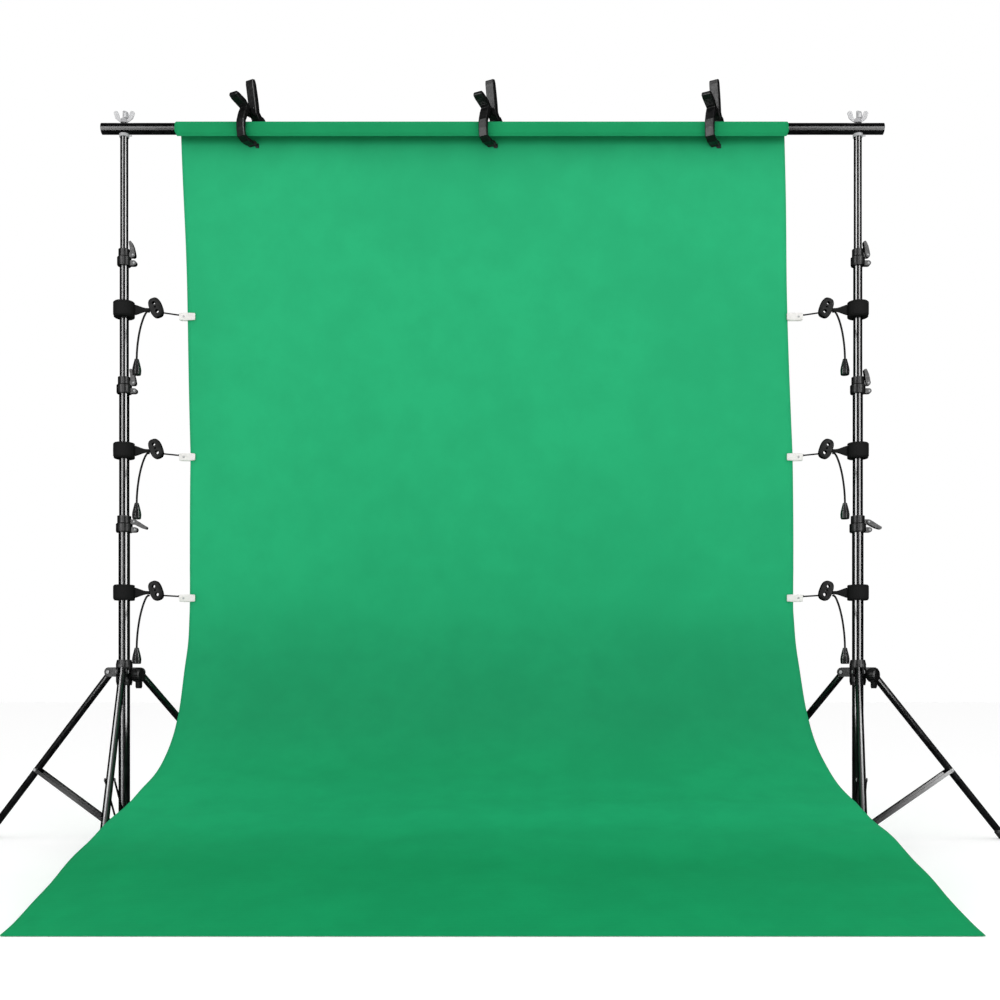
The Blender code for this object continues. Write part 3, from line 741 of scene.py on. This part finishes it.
def make_edge_clip(name, behind, here, body):
    """The elastic from the lock, its knot, and the white clip that grips the sheet's edge."""
    start, end = Vector(ELASTIC_START), Vector((CLIP_IN - CLIP_BACK_END, behind, CLIP_DROP + 0.0045))
    route = [here @ start.lerp(end, step / ELASTIC_SPANS) for step in range(ELASTIC_SPANS + 1)]
    elastic = shape_of(f"{name}_elastic", *tube(route, ELASTIC_DIAMETER / 2, 8), CORD, body, "cord_black")
    loop = []
    for angle in turn_steps(14):
        x, y, z = 0.002 * math.cos(angle) - 0.001, 0.0028 * math.sin(angle), 0.0022 * math.cos(2 * angle)
        loop.append(end + Vector((x, y, z)))
    knot = placed(tube(loop, 0.0014, 8, closed=True), here)
    shape_of(f"{name}_elastic_knot", *knot, CORD, body, "cord_black")

    grip = here @ Matrix.Translation((CLIP_IN, behind, CLIP_DROP))
    jaws = [
        placed(rounded_bar(JAW, JAW_HALF_DEPTH), grip @ Matrix.Translation((0, depth, 0)))
        for depth in (-JAW_APART, JAW_APART)
    ]
    jaws.append(placed(rounded_bar(JAW_BRIDGE, JAW_APART), grip))
    clip = shape_of(f"{name}_edge_clip", *merged(*jaws), CLIP_PLASTIC, body, "plastic_black")
    face = -JAW_APART - 0.0014
    rivet = placed(tube([(-0.009, face, 0), (-0.009, face - 0.0013, 0)], [0.0030, 0.0022], 14), grip)
    shape_of(f"{name}_clip_rivet", *rivet, BRIGHT, body, "metal_silver")


def make_side_clip(side, level):
    name = f"{side}_{level}"
    node = f"{name}_strap"
    body = BODY_OF[node]
    strap_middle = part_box(node)[0][2] + STRAP_HALF_HEIGHT
    centre = Vector((middle(f"{side}_upper_tube").x, BAR.y, strap_middle))
    here = Matrix.Translation(centre) @ Matrix.Scale(SIDES[side], 4, Vector((1, 0, 0)))
    make_band(name, node, TUBE_RADIUS[LEVELS[level]], here, body)
    make_cord_lock(name, here, body)
    make_drawcord(name, f"{name}_drawcord", here, body)
    make_edge_clip(name, cloth_edge(side, centre.z + CLIP_DROP), here, body)


for side in SIDES:
    for level in LEVELS:
        make_side_clip(side, level)


# Rivets, springs and pads ------------------------------------------------------------------------


def dome(place, axis, radius, height, sides=18):
    """A domed rivet head standing on place along axis."""
    turn = Vector((0, 0, 1)).rotation_difference(Vector(axis)).to_matrix().to_4x4()
    profile = [(0, 0), (radius, 0), (radius, 0.35 * height)]
    profile += [(0.82 * radius, 0.75 * height), (0.4 * radius, height), (0, height)]
    return lathe(profile, sides, Matrix.Translation(place) @ turn)


def both_heads(place, axis, reach, head, sides=18):
    """The two heads of a pin through place, each reach from its middle."""
    ends = [Vector(axis) * sign for sign in (-1, 1)]
    return [dome(place + end * reach, end, *head, sides) for end in ends]


def make_rivets(side):
    """Bright heads on the hub's, the leg's and the brace's pivots."""
    hub_heads = []
    for number in (1, 2, 3):
        fold = JOINTS[f"{side}_leg_{number}_fold"]
        brace = JOINTS[f"{side}_brace_{number}_fold"]
        hub_heads += both_heads(Vector(fold["pos_m"]), fold["axis"], LEG_PIN_REACH, LEG_PIN_HEAD)
        brace_heads = both_heads(Vector(brace["pos_m"]), fold["axis"], BRACE_PIN_REACH, BRACE_PIN_HEAD)
        name = f"{side}_brace_{number}"
        shape_of(f"{name}_rivets", *merged(*brace_heads), BRIGHT, BODY_OF[name], "metal_silver")
    shape_of(f"{side}_hub_rivets", *merged(*hub_heads), BRIGHT, f"{side}_leg_hub", "metal_silver")


def make_lever_pins(side):
    """Bright heads on each lock's lever pin and on the screw through its collar's ear."""
    back = (0, 1, 0)
    for tube_name in LEVELS.values():
        lock = f"{side}_{tube_name}_lock"
        joint = JOINTS[f"{lock}_lever_swing"]
        pivot = Vector(joint["pos_m"])
        heads = both_heads(pivot, back, LEVER_PIN_REACH, LEVER_PIN_HEAD, 14)
        shape_of(f"{side}_{tube_name}_lever_pin", *merged(*heads), BRIGHT, joint["child"], "metal_silver")
        collar_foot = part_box(f"{lock}_collar")[0][2]
        screw = Vector((pivot.x + EAR_SCREW_IN, pivot.y, collar_foot + EAR_SCREW_UP))
        heads = both_heads(screw, back, EAR_SCREW_REACH, EAR_SCREW_HEAD, 14)
        shape_of(f"{side}_{tube_name}_collar_screw", *merged(*heads), BRIGHT, joint["parent"], "metal_silver")


def make_stud_cap(side):
    """The six-sided cap on the end of the stud, above the wing nut."""
    stud = middle(f"{side}_bar_stud")
    cap = lathe(STUD_CAP, 6, Matrix.Translation((stud.x, stud.y, BAR.z)))
    soften(shape_of(f"{side}_stud_cap", *cap, BRIGHT, "bar", "metal_silver", smooth=False), 0.0007)


def clamp_place(number):
    """The clamp's own axes: along its hinge, back, and up, from the hinge's middle."""
    joint = JOINTS[f"clamp_{number}_squeeze"]
    axis = -Vector(joint["axis"])
    return Matrix.Translation(Vector(joint["pos_m"])) @ Matrix.Rotation(math.atan2(axis.y, axis.x), 4, "Z")


def clamp_body(number, arm):
    return "bar" if arm == "rear" else f"clamp_{number}_front_arm"


def make_clamp_spring(number):
    """The coil spring on the hinge, with an end lying up each handle."""
    here = clamp_place(number)
    steps = SPRING_TURNS * SPRING_STEPS
    coil = []
    for step in range(steps + 1):
        angle = math.tau * step / SPRING_STEPS
        x = 2 * SPRING_HALF * step / steps - SPRING_HALF
        coil.append(here @ Vector((x, SPRING_RADIUS * math.cos(angle), SPRING_RADIUS * math.sin(angle))))
    ends = [
        tube([here @ Vector((x, y, 0.004)), here @ Vector((x, 1.9 * y, 0.020))], SPRING_WIRE, 6)
        for x, y in ((-SPRING_HALF, -SPRING_RADIUS), (SPRING_HALF, SPRING_RADIUS))
    ]
    spring = merged(tube(coil, SPRING_WIRE, 6), *ends)
    shape_of(f"clamp_{number}_spring", *spring, BRIGHT, "bar", "metal_silver")


def make_clamp_pads(number):
    """A rubber pad on each jaw's tip."""
    for arm, (back, up, lean, half_depth) in PADS.items():
        place = Matrix.Translation((0, back, up)) @ Matrix.Rotation(math.radians(lean), 4, "X")
        pad = placed(rounded_bar(PAD, half_depth), clamp_place(number) @ place)
        shape_of(f"clamp_{number}_{arm}_pad", *pad, RUBBER, clamp_body(number, arm), "plastic_black")


def make_grip_ribs(number):
    """Raised ribs across each clamp handle's outer face."""
    here = clamp_place(number)
    for arm, (count, back, back_step, up, up_step) in RIBS.items():
        ribs = []
        for row in range(count):
            y, z = back + back_step * row, up + up_step * row
            ends = [here @ Vector((x, y, z)) for x in (-RIB_HALF, RIB_HALF)]
            ribs.append(tube(ends, RIB_RADIUS, 6))
        body = clamp_body(number, arm)
        shape_of(f"clamp_{number}_{arm}_ribs", *merged(*ribs), CLAMP_PLASTIC, body, "plastic_black")


def make_bar_plugs():
    """A moulded plug in each end of the crossbar."""
    plugs = []
    for sign in (-1, 1):
        end = Matrix.Translation((sign * BAR_END, BAR.y, BAR.z))
        plugs.append(lathe(END_PLUG, 32, end @ Matrix.Rotation(sign * math.pi / 2, 4, "Y")))
    shape_of("crossbar_end_plugs", *merged(*plugs), PLASTIC, "bar", "plastic_black")


for side in SIDES:
    make_rivets(side)
    make_lever_pins(side)
    make_stud_cap(side)
for number in (1, 2, 3):
    make_clamp_spring(number)
    make_clamp_pads(number)
    make_grip_ribs(number)
make_bar_plugs()


# Stage -------------------------------------------------------------------------------------------


def make_floor():
    corners = [(x * FLOOR_HALF, y * FLOOR_HALF, 0) for x, y in ((-1, -1), (1, -1), (1, 1), (-1, 1))]
    mesh = bpy.data.meshes.new("floor")
    mesh.from_pydata(corners, [], [(0, 1, 2, 3)])
    floor = bpy.data.objects.new("floor", mesh)
    floor.location.z = -FLOOR_DROP
    bpy.context.scene.collection.objects.link(floor)
    look = Nodes("pale_floor", 0.9)
    look.shader.inputs["Base Color"].default_value = (1, 1, 1, 1)
    look.shader.inputs["Emission Color"].default_value = (1, 1, 1, 1)
    look.shader.inputs["Emission Strength"].default_value = FLOOR_GLOW
    mesh.materials.append(look.material)
    floor.visible_glossy = False


def make_world():
    """An even white studio, which the glossy pieces don't mirror."""
    world = bpy.data.worlds.new("studio")
    world.use_nodes = True
    background = world.node_tree.nodes["Background"]
    background.inputs["Color"].default_value = (1, 1, 1, 1)
    background.inputs["Strength"].default_value = 1.0
    world.cycles_visibility.glossy = False
    bpy.context.scene.world = world


def light_reach(name, reach):
    """The pieces that a light reaches, or None where it reaches everything."""
    if reach == "all":
        return None
    nodes = [part["node"] for part in RECORD["subparts"]]
    legs = [node for node in nodes if "_leg_" in node or "_brace_" in node]
    reached = bpy.data.collections.new(f"{name}_reach")
    for node in legs if reach == "legs" else ["crossbar"]:
        reached.objects.link(bpy.data.objects[node])
    for entry in reached.collection_objects:
        entry.light_linking.link_state = "EXCLUDE" if reach == "not bar" else "INCLUDE"
    return reached


def make_lights():
    """Soft boxes in pairs, left and right; only top_soft does more than show in the glossy finishes."""
    for name, place, aim, width, height, power, reach in LIGHT_PAIRS:
        reached = light_reach(name, reach)
        for sign in (-1, 1):
            light = bpy.data.lights.new(name, "AREA")
            light.shape, light.size, light.size_y, light.energy = "RECTANGLE", width, height, power
            lamp = bpy.data.objects.new(name, light)
            lamp.location = (sign * place[0], *place[1:])
            toward = Vector((sign * aim[0], BAR.y, aim[1])) - lamp.location
            lamp.rotation_euler = toward.to_track_quat("-Z", "Y").to_euler()
            lamp.visible_camera, lamp.visible_diffuse = False, name == "top_soft"
            bpy.context.scene.collection.objects.link(lamp)
            lamp.light_linking.receiver_collection = reached


def make_camera():
    camera = bpy.data.cameras.new("camera")
    camera.lens, camera.sensor_width, camera.shift_y = CAMERA_LENS, 36, CAMERA_SHIFT
    eye = bpy.data.objects.new("camera", camera)
    eye.location = (CAMERA_X, BAR.y - CAMERA_BACK, CAMERA_HEIGHT)
    eye.rotation_euler = (math.pi / 2, 0, 0)
    bpy.context.scene.collection.objects.link(eye)
    bpy.context.scene.camera = eye
    bpy.context.scene.view_settings.view_transform = "Standard"


make_floor()
make_world()
make_lights()
make_camera()
